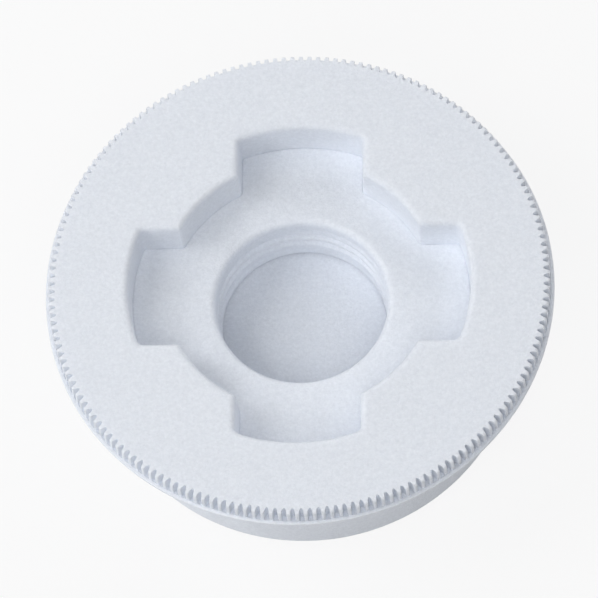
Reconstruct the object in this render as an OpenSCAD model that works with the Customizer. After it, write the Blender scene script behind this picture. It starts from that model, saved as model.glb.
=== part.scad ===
// Reducing drum bung, moulded in one piece: knurled flange, lobed wrench recess, threaded socket and threaded body.
// Millimetres. The bung stands on the lower end of its body, with its axis on +Z.

/* [Flange] */
// Diameter of the flange, over its plain lip
flange_d = 71; // [67:0.5:80]
// Thickness of the flange
flange_t = 2.9; // [2.6:0.1:5]
// Number of knurl teeth round the flange
knurl_teeth = 180; // [90:6:210]
// Depth of the grooves between the teeth
knurl_depth = 0.9; // [0.3:0.05:1.2]
// Height of the plain lip under the teeth
lip_h = 0.5; // [0.3:0.1:1]
// How far the lip stands out past the teeth
lip_step = 0.5; // [0.1:0.05:0.8]
// Bevel at the top ends of the teeth
tooth_bevel = 0.4; // [0.1:0.05:0.6]

/* [Wrench recess] */
// Diameter over the ends of two opposite lobes
lobe_d = 48.9; // [44:0.1:51]
// Width of a lobe
lobe_w = 17.9; // [14:0.1:20]
// Diameter of the round middle
middle_d = 38.8; // [34:0.1:41]
// Depth of the recess below the top face
recess_depth = 6.2; // [4:0.1:7]
// Draft of the recess walls, in degrees
recess_draft = 2.5; // [0.5:0.5:5]
// Bevel along the upper edge of the recess
recess_bevel = 0.35; // [0.1:0.05:0.8]

/* [Socket] */
// Diameter of the socket at its thread crests
socket_d = 23.6; // [22:0.1:25]
// Depth of the socket below the recess floor
socket_depth = 9.3; // [7:0.1:11]
// Bevel at the mouth of the socket
socket_bevel = 0.4; // [0.1:0.05:1]
// Thickness of the closed floor of the socket
membrane_t = 1.5; // [1:0.1:2.5]

/* [Threaded body] */
// Outside diameter of the thread
thread_d = 60.8; // [59:0.1:62]
// Depth of the thread
thread_depth = 1.2; // [1:0.05:1.5]
// Length of the body at the full thread diameter
thread_l = 8; // [6:0.1:14]
// Length of the plain neck above the thread
neck_l = 0.6; // [0.4:0.1:3]
// How far the neck flares out past the thread where it meets the flange
flare = 0.2; // [0.1:0.1:1]
// Length of the plain lead below the thread
lead_l = 7.9; // [6:0.1:11]
// Bevel at the lower end of the lead
lead_bevel = 0.5; // [0.2:0.1:1.2]

/* [Walls] */
// Wall of the body at the root of its thread
skirt_wall = 3; // [2.2:0.1:4]
// Wall round and below the wrench recess
cup_wall = 2.4; // [1.8:0.1:3]
// Wall round the socket, from its thread crests
boss_wall = 3.8; // [3:0.1:4.5]
// Thickness of the top face between the lobes
roof_t = 3.4; // [2.4:0.1:4.5]
// Bevel at the inner edge of the skirt's lower end
mouth_bevel = 0.6; // [0.2:0.1:1]

/* [Hidden] */
$fn = 96;

// Overlap of a cutting shape past the face that it opens
over = 1;
// Colour of the plastic
plastic = [0.90, 0.92, 0.95];

// Radii
flange_r = flange_d / 2;
tooth_r = flange_r - lip_step;
root_r = tooth_r - knurl_depth;
lobe_r = lobe_d / 2;
middle_r = middle_d / 2;
socket_r = socket_d / 2;
boss_r = socket_r + boss_wall;
thread_r = thread_d / 2;
lead_r = thread_r - thread_depth;
seal_r = thread_r + flare;
skirt_in_r = lead_r - skirt_wall;

// Heights above the lower end of the lead
thread_low_z = lead_l + thread_depth;
thread_high_z = thread_low_z + thread_l;
neck_low_z = thread_high_z + thread_depth;
neck_high_z = neck_low_z + neck_l;
flange_low_z = neck_high_z + seal_r - lead_r;
rim_low_z = flange_low_z + lip_h / 2;
knurl_low_z = flange_low_z + lip_h;
top_z = flange_low_z + flange_t;
roof_z = top_z - roof_t;
recess_floor_z = top_z - recess_depth;
cup_low_z = recess_floor_z - cup_wall;
socket_floor_z = recess_floor_z - socket_depth;
boss_low_z = socket_floor_z - membrane_t;

// Lobes face along X and along Y
lobe_angles = [0, 90];

// Profile of lip, neck, thread envelope and lead, for a full turn
module body() {
    rotate_extrude()
        polygon([
            [0, 0],
            [lead_r - lead_bevel, 0],
            [lead_r, lead_bevel],
            [lead_r, lead_l],
            [thread_r, thread_low_z],
            [thread_r, thread_high_z],
            [lead_r, neck_low_z],
            [lead_r, neck_high_z],
            [seal_r, flange_low_z],
            [flange_r, flange_low_z],
            [flange_r, knurl_low_z],
            [0, knurl_low_z]
        ]);
}

// Point of the knurl outline: teeth on even numbers, grooves on odd ones
function knurl_point(i) =
    let (r = i % 2 == 0 ? tooth_r : root_r, a = 180 * i / knurl_teeth)
    r * [cos(a), sin(a)];

// Knurled upper part of the flange, rooted in the lip, with its teeth bevelled at the top
module knurled_rim() {
    intersection() {
        translate([0, 0, rim_low_z])
            linear_extrude(top_z - rim_low_z)
                polygon([for (i = [0 : 2 * knurl_teeth - 1]) knurl_point(i)]);
        rotate_extrude()
            polygon([
                [0, flange_low_z],
                [tooth_r + over, flange_low_z],
                [tooth_r + over, top_z - tooth_bevel - over],
                [tooth_r - tooth_bevel, top_z],
                [0, top_z]
            ]);
    }
}

// Bar with sloping sides that cuts two opposite lobes
module lobe_bar(low_w, high_w, h) {
    rotate([90, 0, 90])
        linear_extrude(2 * flange_r, center = true)
            polygon([[-low_w / 2, 0], [low_w / 2, 0], [high_w / 2, h], [-high_w / 2, h]]);
}

// Lobed solid from low_z up, h high: the recess outline grown by grow at its top, with walls drawn in below
module lobed(low_z, h, grow, draft) {
    drawn_in = h * tan(draft);
    translate([0, 0, low_z]) {
        cylinder(h = h, r1 = middle_r + grow - drawn_in, r2 = middle_r + grow);
        intersection() {
            cylinder(h = h, r1 = lobe_r + grow - drawn_in, r2 = lobe_r + grow);
            union()
                for (a = lobe_angles)
                    rotate(a)
                        lobe_bar(lobe_w + 2 * (grow - drawn_in), lobe_w + 2 * grow, h);
        }
    }
}

// Wrench recess with its bevelled upper edge, cut a little past the top face
module recess() {
    lobed(recess_floor_z, recess_depth + over, over * tan(recess_draft), recess_draft);
    lobed(top_z - recess_bevel, recess_bevel + over, recess_bevel + over, 45);
}

// Threaded socket, as the cylinder over its thread crests, with a bevelled mouth
module socket() {
    translate([0, 0, socket_floor_z])
        cylinder(h = socket_depth + over, r = socket_r);
    translate([0, 0, recess_floor_z - socket_bevel])
        cylinder(h = socket_bevel + over, r1 = socket_r, r2 = socket_r + socket_bevel + over);
}

// Hollow below: the bore of the skirt, less the cup of the recess and the boss of the socket
module underside() {
    difference() {
        rotate_extrude()
            polygon([
                [0, -over],
                [skirt_in_r + mouth_bevel + over, -over],
                [skirt_in_r, mouth_bevel],
                [skirt_in_r, roof_z],
                [0, roof_z]
            ]);
        lobed(cup_low_z, top_z - cup_low_z, cup_wall, recess_draft);
        translate([0, 0, boss_low_z])
            cylinder(h = top_z - boss_low_z, r = boss_r);
    }
}

// The whole moulding
module bung() {
    color(plastic)
        difference() {
            union() {
                body();
                knurled_rim();
            }
            recess();
            socket();
            underside();
        }
}

bung();
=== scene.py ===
"""Looks of the drum bung: the moulding with its knurl, rounded edges and real threads, on a white floor."""
import math

import bmesh
import bpy
import numpy as np
from mathutils import Matrix, Vector


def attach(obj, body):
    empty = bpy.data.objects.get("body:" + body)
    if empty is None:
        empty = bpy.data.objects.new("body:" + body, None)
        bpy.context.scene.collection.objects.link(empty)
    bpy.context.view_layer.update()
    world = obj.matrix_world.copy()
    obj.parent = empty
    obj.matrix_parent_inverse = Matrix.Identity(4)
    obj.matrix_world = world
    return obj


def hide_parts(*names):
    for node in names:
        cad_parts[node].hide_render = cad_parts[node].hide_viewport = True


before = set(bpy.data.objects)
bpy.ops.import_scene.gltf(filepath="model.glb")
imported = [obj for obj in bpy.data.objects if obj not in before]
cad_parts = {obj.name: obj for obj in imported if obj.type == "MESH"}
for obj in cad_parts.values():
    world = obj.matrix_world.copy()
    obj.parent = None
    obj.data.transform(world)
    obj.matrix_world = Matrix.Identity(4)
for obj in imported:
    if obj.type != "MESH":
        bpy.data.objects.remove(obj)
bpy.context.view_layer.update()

MM = 0.001

# Flange, in millimetres, with heights above the lower end of the body
TOP_Z = 23.2
FLANGE_LOW_Z = 20.3
FLANGE_R = 35.5
LIP_H = 0.5
LIP_ROUND = 0.12
# How far past the teeth the plain face of the lip starts
LIP_START = 0.03

# Knurl
TEETH = 180
TOOTH_R = 35.0
TOOTH_DEPTH = 0.9
TOOTH_ROUND = 0.4
# Depth of the groove at even steps across one tooth, from its tip, as a share of the full depth
TOOTH_STEPS = (0.0, 0.0, 0.06, 0.75, 1.0, 1.0, 1.0, 0.75, 0.06, 0.0)
# Heights of the knurl's rings above the lip
TOOTH_RINGS = (1.2, 0.15)
# Share of the depth past which a groove runs on into the lip
GROOVE_DEEP = 0.5
# Depth to which it runs on, and the width of lip left in front of it
GROOVE_SINK = 0.15
GROOVE_SILL = 0.1

# Wrench recess
LOBE_R = 24.45
LOBE_HALF = 8.95
MIDDLE_R = 19.4
RECESS_FLOOR_Z = 17.0
RECESS_SLOPE = math.tan(math.radians(2.5))
RECESS_EDGE = 0.9
# How far the walls below the soft edge stand in, at lobe ends, lobe sides and middle
RECESS_IN = (0.6, 0.25, 0.65)
# Depths of the wall's rings below the soft edge
RECESS_RINGS = (1.5, 3.2)
# Fine groove at the foot of the walls: its width and depth
RECESS_FOOT = (0.1, 0.08)
LOBE_CORNER = 0.9
MIDDLE_CORNER = 0.5
LEAST_CORNER = 0.03

# Socket, tapered for its pipe thread and for the draft of the mould
SOCKET_R = 11.8
SOCKET_TAPER = 1 / 16
SOCKET_FLOOR_Z = 7.7
SOCKET_EDGE = 1.0
SOCKET_FOOT = 0.15
# Relief between thread and floor: its depth and height
SOCKET_RELIEF = (0.5, 0.45)
SOCKET_PITCH = 25.4 / 14
SOCKET_THREAD_DEPTH = 0.8
SOCKET_THREAD_ENDS = (8.4, 15.9)
SOCKET_THREAD_TURN = 0.3

# Body
THREAD_R = 30.4
LEAD_R = 29.2
LEAD_EDGE = 0.5
SEAL_R = 30.6
NECK_HIGH_Z = 18.9
NECK_SOFT = 0.08
BODY_PITCH = 25.4 / 11.5
BODY_THREAD_ENDS = (7.9, 18.4)
BODY_THREAD_TURN = 0.6

# Underside
SKIRT_R = 26.2
MOUTH_EDGE = 0.6
ROOF_Z = 19.8
CUP_WALL = 2.4
CUP_LOW_Z = 14.6
CUP_CORNER = 0.8
BOSS_R = 15.6
BOSS_LOW_Z = 6.2
# Rounding of the boss and of the pockets' corners, and its largest share of a pocket's width
FOOT = 0.5
FOOT_SHARE = 0.4
# Rounding of the edge of the cup's underside
EDGE = 0.3
# Gap to the skirt's bore below which there is no pocket
NO_GAP = 1e-6

# Threads: place along the pitch and height of the ridge there, over one pitch
THREAD_SHAPE = (
    (-0.50, 0.0), (-0.40, 0.0), (-0.34, 0.07), (-0.21, 0.5), (-0.10, 0.93), (-0.05, 1.0),
    (0.05, 1.0), (0.10, 0.93), (0.21, 0.5), (0.34, 0.07), (0.40, 0.0),
)
# Length over which a ridge runs out, as a share of the pitch, and the laps drawn past both ends
RUN_OUT = 0.5
SPARE_LAPS = 2

# Points round a ring, and the width of the flat rim that keeps the shading of a flat face flat
BODY_COUNT = 288
SOCKET_COUNT = 192
BOSS_COUNT = 144
RIM = 0.3
# Steps of a rounding in profile: an edge, the lip and the lead
EDGE_STEPS = 5
LIP_STEPS = 3
LEAD_STEPS = 6
# Place of the middle point of a rounding in two steps, as a share of its radius
ROUND_MIDDLE = 0.3
# Steps of the lobed outline: half an end, a corner, a side and half the arc between two lobes
END_STEPS = 14
CORNER_STEPS = 6
SIDE_STEPS = 8
MIDDLE_STEPS = 10
# Distance at which points count as one, in millimetres, and angle past which an edge is sharp, in degrees
WELD = 1e-4
SHARP_ANGLE = 38

# Plastic: colours and roughness at both ends of its faint cloudiness
PLASTIC_DARK = (0.725, 0.76, 0.825)
PLASTIC_LIGHT = (0.875, 0.91, 0.975)
PLASTIC_ROUGH = (0.4, 0.52)
# Noises: scale, detail and roughness, and the part of a noise's range that a ramp spreads out
CLOUD_NOISE = (1800, 5, 0.9)
ROUGH_NOISE = (900, 3, 0.5)
GRAIN_NOISE = (3200, 3, 0.6)
WAVE_NOISE = (350, 2, 0.5)
RAMP_ENDS = (0.3, 0.7)
# Bumps: distance in metres and strength
GRAIN_BUMP = (0.00018, 0.6)
WAVE_BUMP = (0.0001, 0.12)
PLASTIC_SPECULAR = 0.5
SCATTER_WEIGHT = 0.3
SCATTER_RADIUS = (1.0, 1.0, 1.0)
SCATTER_SCALE = 0.001

# Floor and sky, in metres: the floor lies just below the bung, and most of it is seen as plain white
FLOOR_COLOUR = (0.72, 0.725, 0.735)
FLOOR_ROUGH = 0.9
FLOOR_WHITE = 0.87
FLOOR_HALF = 3.0
FLOOR_Z = -0.0002
SKY = 0.02

# Soft lamps round the bung: name, tilt from the axis and azimuth in degrees, power in watts
LAMPS = (
    ("left_high", 42, 180, 2.8),
    ("left_low", 66, 180, 0.85),
    ("left_front", 66, -135, 1.8),
    ("front", 42, -90, 2.3),
    ("above", 18, -45, 0.85),
    ("right_low", 66, 8, 1.0),
    ("back_right", 70, 50, 1.1),
    ("back_low", 66, 95, 2.3),
    ("back_high", 42, 90, 0.25),
)
LAMP_DISTANCE = 0.9
LAMP_SIZE = 0.5

# Camera, fitted to the photo: a long lens looking down at the top face, its focal length given in pixels
CAMERA_TILT = 24.47
CAMERA_AZIMUTH = -82.0
CAMERA_ROLL = 0.51
CAMERA_DISTANCE = 2.0
CAMERA_TARGET = Vector((0.04, -2.38, TOP_Z)) * MM
CAMERA_CLIP = (0.1, 10.0)
SENSOR = 36.0
FOCAL_PIXELS = 14380
PICTURE_PIXELS = 598
LENS = SENSOR * FOCAL_PIXELS / PICTURE_PIXELS


def add_object(name, data):
    """New object of this data in the scene."""
    made = bpy.data.objects.new(name, data)
    bpy.context.scene.collection.objects.link(made)
    return made


class Skin:
    """Rings and sheets of points, in millimetres, joined into one closed surface."""

    def __init__(self):
        self.points = []
        self.faces = []

    def ring(self, xyz):
        """Adds the points of a closed ring, which starts on +X and goes anticlockwise."""
        first = len(self.points)
        self.points.extend(tuple(float(v) for v in p) for p in xyz)
        return list(range(first, len(self.points)))

    def strip(self, a, b):
        """Joins two rings of one count by quads."""
        for i in range(len(a)):
            j = (i + 1) % len(a)
            self.faces.append((a[i], a[j], b[j], b[i]))

    def strips(self, rings):
        """Adds rings of one count, joins each to the next, and returns the first and last."""
        made = [self.ring(r) for r in rings]
        for a, b in zip(made, made[1:]):
            self.strip(a, b)
        return made[0], made[-1]

    def zip(self, a, b):
        """Joins two rings of any count by triangles, going round by angle."""
        angle_a, angle_b = self.angles(a), self.angles(b)
        a, b = a + a[:1], b + b[:1]
        i = j = 0
        while i + 1 < len(a) or j + 1 < len(b):
            if j + 1 == len(b) or (i + 1 < len(a) and angle_a[i + 1] <= angle_b[j + 1]):
                self.faces.append((a[i], a[i + 1], b[j]))
                i += 1
            else:
                self.faces.append((a[i], b[j + 1], b[j]))
                j += 1

    def angles(self, ring):
        """Angles of a ring's points about the axis, closed by a full turn."""
        full = 2 * math.pi
        later = [math.atan2(self.points[i][1], self.points[i][0]) % full for i in ring[1:]]
        return [0.0, *later, full]

    def sheet(self, grid):
        """Adds an open grid of points whose last column lies on its first."""
        rows, columns, _ = grid.shape
        first = len(self.points)
        self.points.extend(map(tuple, grid.reshape(-1, 3).tolist()))
        for i in range(rows - 1):
            for j in range(columns - 1):
                a = first + i * columns + j
                self.faces.append((a, a + 1, a + columns + 1, a + columns))

    def cap(self, ring, centre):
        """Closes a ring with a fan of triangles about a point."""
        tip = len(self.points)
        self.points.append(centre)
        for i in range(len(ring)):
            self.faces.append((ring[i], ring[(i + 1) % len(ring)], tip))

    def build(self, name):
        """One Blender object of the welded surface, in metres, smooth but for its sharp edges."""
        mesh = bpy.data.meshes.new(name)
        mesh.from_pydata([[v * MM for v in p] for p in self.points], [], self.faces)
        work = bmesh.new()
        work.from_mesh(mesh)
        bmesh.ops.remove_doubles(work, verts=work.verts, dist=WELD * MM)
        bmesh.ops.recalc_face_normals(work, faces=work.faces)
        work.to_mesh(mesh)
        work.free()
        mesh.shade_smooth()
        mesh.set_sharp_from_angle(angle=math.radians(SHARP_ANGLE))
        return add_object(name, mesh)


def circle(r, z, count):
    """Points of a level circle about the axis."""
    turn = np.arange(count) * 2 * math.pi / count
    return np.stack([r * np.cos(turn), r * np.sin(turn), np.full(count, z)], axis=1)


def turned(profile, count):
    """Rings of a profile of radii and heights."""
    return [circle(r, z, count) for r, z in profile]


def ring_of(radii, z):
    """Ring with a radius for each point, and one height or one for each point."""
    flat = circle(1.0, 0.0, len(radii))
    flat[:, 2] = z
    flat[:, :2] *= np.asarray(radii)[:, None]
    return flat


def raised(outline, z):
    """Ring of a plan outline at a height, or at one height for each point."""
    return np.column_stack([outline, np.broadcast_to(z, len(outline))])


def arc(r, z, radius, start, end, steps):
    """Profile points of a rounding about (r, z), between two angles in degrees."""
    angles = np.radians(np.linspace(start, end, steps + 1))
    return [(r + radius * math.cos(a), z + radius * math.sin(a)) for a in angles]


def bend(centre, radius, start, end, steps):
    """Plan points of an arc between two angles in radians."""
    angles = np.linspace(start, end, steps + 1)
    return [(centre[0] + radius * math.cos(a), centre[1] + radius * math.sin(a)) for a in angles]


def smooth(x):
    """Ramp from 0 to 1 with soft ends."""
    x = np.clip(x, 0.0, 1.0)
    return x * x * (3 - 2 * x)


def quarter_turn(number):
    """Matrix that turns rows of plan points by a number of quarter turns."""
    a = number * math.pi / 2
    return np.array([[math.cos(a), math.sin(a)], [-math.sin(a), math.cos(a)]])


def lobed(end_r, half, middle_r, end_corner, middle_corner):
    """Plan outline of the four lobes: end arcs, straight sides and the round middle, with rounded corners."""
    cy = half - end_corner
    cx = math.sqrt((end_r - end_corner) ** 2 - cy ** 2)
    dy = half + middle_corner
    dx = math.sqrt((middle_r + middle_corner) ** 2 - dy ** 2)
    end_angle, middle_angle = math.atan2(cy, cx), math.atan2(dy, dx)
    eighth = bend((0, 0), end_r, 0, end_angle, END_STEPS)
    eighth += bend((cx, cy), end_corner, end_angle, math.pi / 2, CORNER_STEPS)[1:]
    eighth += [(cx + (dx - cx) * k / SIDE_STEPS, half) for k in range(1, SIDE_STEPS + 1)]
    eighth += bend((dx, dy), middle_corner, -math.pi / 2, middle_angle - math.pi, CORNER_STEPS)[1:]
    eighth += bend((0, 0), middle_r, middle_angle, math.pi / 4, MIDDLE_STEPS)[1:]
    quarter = np.array(eighth + [(y, x) for x, y in eighth[-2:0:-1]])
    return np.concatenate([quarter @ quarter_turn(number) for number in range(4)])


def recess_outline(grow):
    """Outline of the recess walls below the soft edge, grown on all sides."""
    end, side, middle = RECESS_IN
    return lobed(LOBE_R - end + grow, LOBE_HALF - side + grow, MIDDLE_R - middle + grow,
                 max(LOBE_CORNER + grow, LEAST_CORNER), max(MIDDLE_CORNER - grow, LEAST_CORNER))


def cup_outline(z):
    """Outline of the cup under the recess at a height, ending on the skirt's bore."""
    side = CUP_WALL - RECESS_SLOPE * (TOP_Z - z)
    return lobed(SKIRT_R, LOBE_HALF + side, MIDDLE_R + side, 0.0, CUP_CORNER)


def helix(base_r, height, pitch, ends, turn, count):
    """Sheet of a right-hand thread whose ridge runs out at both ends, between two level circles."""
    low, high = ends
    angles = np.linspace(0, 2 * math.pi, count + 1)
    rise = low + pitch * (angles / (2 * math.pi) + turn)
    laps = range(-SPARE_LAPS, math.ceil((high - low) / pitch) + SPARE_LAPS)
    rows = []
    for lap in laps:
        centre = rise + pitch * lap
        start = smooth((centre - low - pitch / 2) / (RUN_OUT * pitch))
        stop = smooth((high - pitch / 2 - centre) / (RUN_OUT * pitch))
        for place_along, share in THREAD_SHAPE:
            z = np.clip(centre + pitch * place_along, low, high)
            r = base_r(z) + height * share * start * stop
            rows.append(np.stack([r * np.cos(angles), r * np.sin(angles), z], axis=1))
    return np.array(rows)


def tooth_ring(tip_r, z):
    """Ring of the knurl at a height, its tips drawn in to a radius."""
    grooves = np.tile(TOOTH_R - TOOTH_DEPTH * np.array(TOOTH_STEPS), TEETH)
    return ring_of(np.minimum(grooves, tip_r), z)


def groove_ends(lip_z):
    """Rings that end the grooves in small pockets of the lip."""
    steps = np.tile(TOOTH_STEPS, TEETH)
    deep = steps > GROOVE_DEEP
    z = np.where(deep, lip_z - GROOVE_SINK, lip_z)
    back = TOOTH_R - TOOTH_DEPTH * steps
    front = np.where(deep, TOOTH_R - GROOVE_SILL, back)
    return [ring_of(back, z), ring_of(front, z), circle(TOOTH_R + LIP_START, lip_z, len(steps))]


def add_flange(skin):
    """Knurl and lip; returns the rims of the top face and of the underside."""
    count = TEETH * len(TOOTH_STEPS)
    lip_z, lip_r = FLANGE_LOW_Z + LIP_H, FLANGE_R - LIP_ROUND
    tips = arc(TOOTH_R - TOOTH_ROUND, TOP_Z - TOOTH_ROUND, TOOTH_ROUND, 90, 0, EDGE_STEPS)
    rings = [circle(TOOTH_R - TOOTH_DEPTH - RIM, TOP_Z, count)]
    rings += [tooth_ring(r, z) for r, z in tips]
    rings += [tooth_ring(TOOTH_R, lip_z + height) for height in TOOTH_RINGS]
    rings += groove_ends(lip_z)
    lip = arc(lip_r, lip_z - LIP_ROUND, LIP_ROUND, 90, 0, LIP_STEPS)
    lip += arc(lip_r, FLANGE_LOW_Z + LIP_ROUND, LIP_ROUND, 0, -90, LIP_STEPS)
    rings += turned(lip + [(lip_r - RIM, FLANGE_LOW_Z)], count)
    return skin.strips(rings)


def add_recess(skin):
    """Walls of the wrench recess; returns the rims of the top face and of the floor."""
    foot_w, foot_h = RECESS_FOOT
    foot_z = RECESS_FLOOR_Z - foot_h
    edge_z = TOP_Z - RECESS_EDGE
    foot_grow = -RECESS_SLOPE * (edge_z - foot_z)
    steps = [(RECESS_EDGE + RIM, TOP_Z)]
    steps += arc(RECESS_EDGE, edge_z, RECESS_EDGE, 90, 180, EDGE_STEPS)
    steps += [(-RECESS_SLOPE * depth, edge_z - depth) for depth in RECESS_RINGS]
    steps += [(foot_grow, foot_z), (foot_grow - foot_w / 2, foot_z)]
    steps += [(foot_grow - foot_w, RECESS_FLOOR_Z), (foot_grow - foot_w - RIM, RECESS_FLOOR_Z)]
    return skin.strips([raised(recess_outline(grow), z) for grow, z in steps])


def socket_r(z):
    """Radius of the socket's wall at a height, over the crests of its thread."""
    return SOCKET_R + SOCKET_TAPER * (z - (SOCKET_FLOOR_Z + RECESS_FLOOR_Z) / 2)


def add_socket(skin):
    """Rounded mouth, threaded wall and closed floor; returns the rim of the recess floor."""
    low, high = SOCKET_THREAD_ENDS
    edge_z, foot_z = RECESS_FLOOR_Z - SOCKET_EDGE, SOCKET_FLOOR_Z + SOCKET_FOOT
    relief, relief_h = SOCKET_RELIEF
    relief_r, relief_z = socket_r(low) + relief, SOCKET_FLOOR_Z + relief_h
    mouth = [(socket_r(edge_z) + SOCKET_EDGE + RIM, RECESS_FLOOR_Z)]
    mouth += arc(socket_r(edge_z) + SOCKET_EDGE, edge_z, SOCKET_EDGE, 90, 180, EDGE_STEPS)
    mouth += [(socket_r(high), high)]
    top, _ = skin.strips(turned(mouth, SOCKET_COUNT))
    skin.sheet(helix(socket_r, SOCKET_THREAD_DEPTH, SOCKET_PITCH, SOCKET_THREAD_ENDS,
                     SOCKET_THREAD_TURN, SOCKET_COUNT))
    floor = [(socket_r(low), low), (socket_r(low), relief_z), (relief_r, relief_z)]
    floor += arc(relief_r - SOCKET_FOOT, foot_z, SOCKET_FOOT, 0, -90, EDGE_STEPS)
    floor += [(relief_r - SOCKET_FOOT - RIM, SOCKET_FLOOR_Z)]
    _, last = skin.strips(turned(floor, SOCKET_COUNT))
    skin.cap(last, (0.0, 0.0, SOCKET_FLOOR_Z))
    return top


def add_body(skin):
    """Neck, threaded body, lead and skirt mouth; returns the rims of the flange and of the skirt bore."""
    low, high = BODY_THREAD_ENDS
    neck = [(SEAL_R + 2 * RIM, FLANGE_LOW_Z), (SEAL_R + RIM, FLANGE_LOW_Z)]
    neck += [(SEAL_R, FLANGE_LOW_Z - NECK_SOFT), (SEAL_R - RIM, FLANGE_LOW_Z - RIM)]
    neck += [(LEAD_R + RIM, NECK_HIGH_Z + RIM), (LEAD_R + NECK_SOFT, NECK_HIGH_Z)]
    neck += [(LEAD_R, NECK_HIGH_Z - RIM), (LEAD_R, high)]
    top, _ = skin.strips(turned(neck, BODY_COUNT))
    skin.sheet(helix(lambda z: LEAD_R, THREAD_R - LEAD_R, BODY_PITCH, BODY_THREAD_ENDS,
                     BODY_THREAD_TURN, BODY_COUNT))
    lead = [(LEAD_R, low), (LEAD_R, LEAD_EDGE + RIM)]
    lead += arc(LEAD_R - LEAD_EDGE, LEAD_EDGE, LEAD_EDGE, 0, -90, LEAD_STEPS)
    lead += [(LEAD_R - LEAD_EDGE - RIM, 0.0), (SKIRT_R + MOUTH_EDGE + RIM, 0.0)]
    lead += arc(SKIRT_R + MOUTH_EDGE, MOUTH_EDGE, MOUTH_EDGE, -90, -180, EDGE_STEPS)
    lead += [(SKIRT_R, MOUTH_EDGE + RIM)]
    _, bore = skin.strips(turned(lead, BODY_COUNT))
    return top, bore


def add_pockets(skin, bore):
    """Pockets between the lobes, up the skirt's bore to the roof and down the cup's wall to its floor."""
    wall, roof = cup_outline(CUP_LOW_Z + EDGE), cup_outline(ROOF_Z)
    radii = np.hypot(wall[:, 0], wall[:, 1])
    gap = SKIRT_R - radii
    pocket = gap > NO_GAP
    outward = wall / radii[:, None]
    roof_out = roof / np.hypot(roof[:, 0], roof[:, 1])[:, None]
    foot = np.minimum(FOOT, FOOT_SHARE * gap)
    middle = ROUND_MIDDLE * foot
    skirt = outward * SKIRT_R
    closed_z = CUP_LOW_Z - EDGE

    def ring(outline, z):
        return raised(np.where(pocket[:, None], outline, skirt), np.where(pocket, z, closed_z))

    rings = [raised(skirt, closed_z), ring(skirt, ROOF_Z - foot)]
    rings += [ring(outward * (SKIRT_R - middle)[:, None], ROOF_Z - middle)]
    rings += [ring(outward * (SKIRT_R - foot)[:, None], ROOF_Z)]
    rings += [ring(roof + roof_out * foot[:, None], ROOF_Z)]
    rings += [ring(roof + roof_out * middle[:, None], ROOF_Z - middle)]
    rings += [ring(roof, ROOF_Z - foot), ring(wall, CUP_LOW_Z + EDGE)]
    first, last = skin.strips(rings + cup_edge(np.where(pocket[:, None], wall, skirt), outward, pocket))
    skin.zip(bore, first)
    return last


def cup_edge(outer, outward, pocket):
    """Rings of the edge of the cup's underside: convex along a pocket, concave along the skirt's bore."""
    middle = ROUND_MIDDLE * EDGE
    middle_z = np.where(pocket, CUP_LOW_Z + middle, CUP_LOW_Z - middle)
    steps = ((middle, middle_z), (EDGE, CUP_LOW_Z), (EDGE + RIM, CUP_LOW_Z))
    return [raised(outer - outward * inset, z) for inset, z in steps]


def add_boss(skin, cup):
    """Boss round the socket, below the cup's floor."""
    boss = [(BOSS_R + FOOT + RIM, CUP_LOW_Z)]
    boss += arc(BOSS_R + FOOT, CUP_LOW_Z - FOOT, FOOT, 90, 180, EDGE_STEPS)
    boss += arc(BOSS_R - FOOT, BOSS_LOW_Z + FOOT, FOOT, 0, -90, EDGE_STEPS)
    boss += [(BOSS_R - FOOT - RIM, BOSS_LOW_Z)]
    first, last = skin.strips(turned(boss, BOSS_COUNT))
    skin.zip(cup, first)
    skin.cap(last, (0.0, 0.0, BOSS_LOW_Z))


def make_bung():
    """The whole moulding as one closed mesh."""
    skin = Skin()
    flange_top, flange_low = add_flange(skin)
    recess_top, recess_floor = add_recess(skin)
    skin.zip(flange_top, recess_top)
    skin.zip(recess_floor, add_socket(skin))
    neck, bore = add_body(skin)
    skin.zip(flange_low, neck)
    add_boss(skin, add_pockets(skin, bore))
    return skin.build("bung_moulding")


class Nodes:
    """Short way to add and link the nodes of one material."""

    def __init__(self, material):
        material.use_nodes = True
        self.tree = material.node_tree
        self.shader = self.tree.nodes["Principled BSDF"]
        place_node = self.tree.nodes.new("ShaderNodeTexCoord")
        self.place = place_node.outputs["Object"]

    def noise(self, scale, detail, roughness):
        """Noise whose features are about 1 / scale metres across."""
        node = self.tree.nodes.new("ShaderNodeTexNoise")
        node.inputs["Scale"].default_value = scale
        node.inputs["Detail"].default_value = detail
        node.inputs["Roughness"].default_value = roughness
        self.link(self.place, node.inputs["Vector"])
        return node.outputs["Fac"]

    def ramp(self, value, low, high):
        """Colour between two ends, by a value in the part of its range that ramps spread out."""
        node = self.tree.nodes.new("ShaderNodeValToRGB")
        first, last = node.color_ramp.elements
        first.position, last.position = RAMP_ENDS
        first.color, last.color = (*low, 1), (*high, 1)
        self.link(value, node.inputs["Fac"])
        return node.outputs["Color"]

    def bump(self, height, distance, strength, normal=None):
        """Bump of a height, on top of another bump if there is one."""
        node = self.tree.nodes.new("ShaderNodeBump")
        node.inputs["Distance"].default_value = distance
        node.inputs["Strength"].default_value = strength
        self.link(height, node.inputs["Height"])
        if normal:
            self.link(normal, node.inputs["Normal"])
        return node.outputs["Normal"]

    def link(self, out, into):
        self.tree.links.new(out, into)


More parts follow.
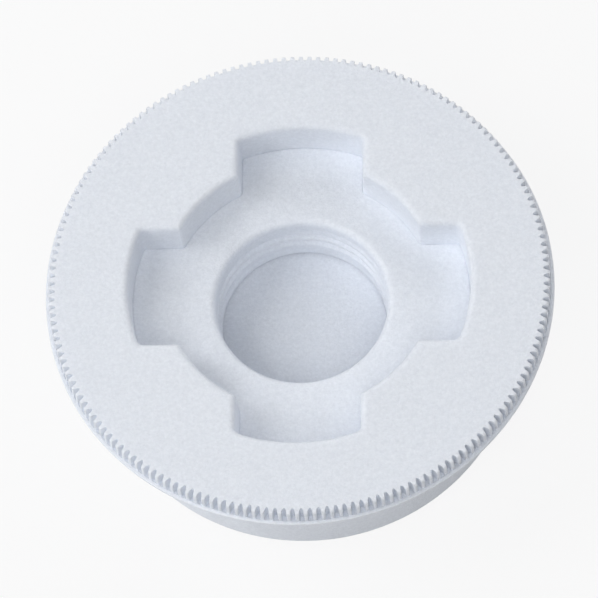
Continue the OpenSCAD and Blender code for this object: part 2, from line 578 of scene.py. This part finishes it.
def white_plastic():
    """Matt white moulded plastic, cool in tone, with a fine grain and a faint cloudiness."""
    material = bpy.data.materials.new("white_plastic")
    nodes = Nodes(material)
    shader = nodes.shader
    cloud = nodes.ramp(nodes.noise(*CLOUD_NOISE), PLASTIC_DARK, PLASTIC_LIGHT)
    nodes.link(cloud, shader.inputs["Base Color"])
    least, most = PLASTIC_ROUGH
    rough = nodes.ramp(nodes.noise(*ROUGH_NOISE), (least,) * 3, (most,) * 3)
    nodes.link(rough, shader.inputs["Roughness"])
    grain = nodes.bump(nodes.noise(*GRAIN_NOISE), *GRAIN_BUMP)
    waves = nodes.bump(nodes.noise(*WAVE_NOISE), *WAVE_BUMP, grain)
    nodes.link(waves, shader.inputs["Normal"])
    shader.inputs["Specular IOR Level"].default_value = PLASTIC_SPECULAR
    shader.inputs["Subsurface Weight"].default_value = SCATTER_WEIGHT
    shader.inputs["Subsurface Radius"].default_value = SCATTER_RADIUS
    shader.inputs["Subsurface Scale"].default_value = SCATTER_SCALE
    return material


def seen(tree, share):
    """Value that is share for rays from the camera, straight, mirrored or passed on, and 0 for all others."""
    path = tree.nodes.new("ShaderNodeLightPath")
    total = path.outputs["Is Camera Ray"]
    for kind in ("Is Glossy Ray", "Is Transmission Ray"):
        either = tree.nodes.new("ShaderNodeMath")
        either.operation = "MAXIMUM"
        tree.links.new(total, either.inputs[0])
        tree.links.new(path.outputs[kind], either.inputs[1])
        total = either.outputs["Value"]
    part = tree.nodes.new("ShaderNodeMath")
    part.operation = "MULTIPLY"
    part.inputs[1].default_value = share
    tree.links.new(total, part.inputs[0])
    return part.outputs["Value"]


def floor_white():
    """Pale matt floor that the camera sees nearly white, with a faint shadow left on it."""
    material = bpy.data.materials.new("floor_white")
    nodes = Nodes(material)
    nodes.shader.inputs["Base Color"].default_value = (*FLOOR_COLOUR, 1)
    nodes.shader.inputs["Roughness"].default_value = FLOOR_ROUGH
    nodes.shader.inputs["Specular IOR Level"].default_value = 0.0
    white = nodes.tree.nodes.new("ShaderNodeEmission")
    mix = nodes.tree.nodes.new("ShaderNodeMixShader")
    nodes.link(seen(nodes.tree, FLOOR_WHITE), mix.inputs["Fac"])
    nodes.link(nodes.shader.outputs["BSDF"], mix.inputs[1])
    nodes.link(white.outputs["Emission"], mix.inputs[2])
    nodes.link(mix.outputs["Shader"], nodes.tree.nodes["Material Output"].inputs["Surface"])
    return material


def add_floor():
    """Pale floor that keeps the bung's soft shadow."""
    sides = ((-1, -1), (1, -1), (1, 1), (-1, 1))
    mesh = bpy.data.meshes.new("floor")
    mesh.from_pydata([(x * FLOOR_HALF, y * FLOOR_HALF, FLOOR_Z) for x, y in sides], [], [(0, 1, 2, 3)])
    floor = add_object("floor", mesh)
    mesh.materials.append(floor_white())


def add_world():
    """Faint even sky light, seen as white."""
    world = bpy.data.worlds.new("studio")
    world.use_nodes = True
    tree = world.node_tree
    sky = tree.nodes["Background"]
    sky.inputs["Color"].default_value = (1.0, 1.0, 1.0, 1)
    strength = tree.nodes.new("ShaderNodeMath")
    strength.operation = "ADD"
    strength.inputs[1].default_value = SKY
    tree.links.new(seen(tree, 1 - SKY), strength.inputs[0])
    tree.links.new(strength.outputs["Value"], sky.inputs["Strength"])
    bpy.context.scene.world = world


def aimed(back, roll):
    """Rotation of a camera or lamp that looks along -back, with +Y up in its view, turned by roll degrees."""
    right = Vector((0, 1, 0)).cross(back).normalized()
    up = back.cross(right)
    c, s = math.cos(math.radians(roll)), math.sin(math.radians(roll))
    across, along = c * right + s * up, -s * right + c * up
    return Matrix((across, along, back)).transposed()


def direction(tilt, azimuth):
    """Unit vector at a tilt from +Z toward an azimuth, in degrees."""
    t, a = math.radians(tilt), math.radians(azimuth)
    return Vector((math.sin(t) * math.cos(a), math.sin(t) * math.sin(a), math.cos(t)))


def place(thing, target, back, distance, roll=0.0):
    """Puts a camera or lamp at a distance from its target, looking at it."""
    rotation = aimed(back, roll).to_4x4()
    thing.matrix_world = Matrix.Translation(target + back * distance) @ rotation


def add_lamp(name, tilt, azimuth, power):
    """Square soft lamp aimed at the bung."""
    data = bpy.data.lights.new(name, "AREA")
    data.shape, data.size, data.energy = "SQUARE", LAMP_SIZE, power
    lamp = add_object(name, data)
    place(lamp, Vector((0, 0, TOP_Z * MM)), direction(tilt, azimuth), LAMP_DISTANCE)
    lamp.visible_camera = False


def add_camera():
    """The photo's camera."""
    data = bpy.data.cameras.new("photo_camera")
    data.sensor_width, data.lens = SENSOR, LENS
    data.clip_start, data.clip_end = CAMERA_CLIP
    camera = add_object("photo_camera", data)
    place(camera, CAMERA_TARGET, direction(CAMERA_TILT, CAMERA_AZIMUTH), CAMERA_DISTANCE, CAMERA_ROLL)
    bpy.context.scene.camera = camera


bung = make_bung()
bung.data.materials.append(white_plastic())
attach(bung, "root")
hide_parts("bung")

add_floor()
add_world()
for lamp in LAMPS:
    add_lamp(*lamp)
add_camera()
bpy.context.scene.view_settings.view_transform = "Standard"
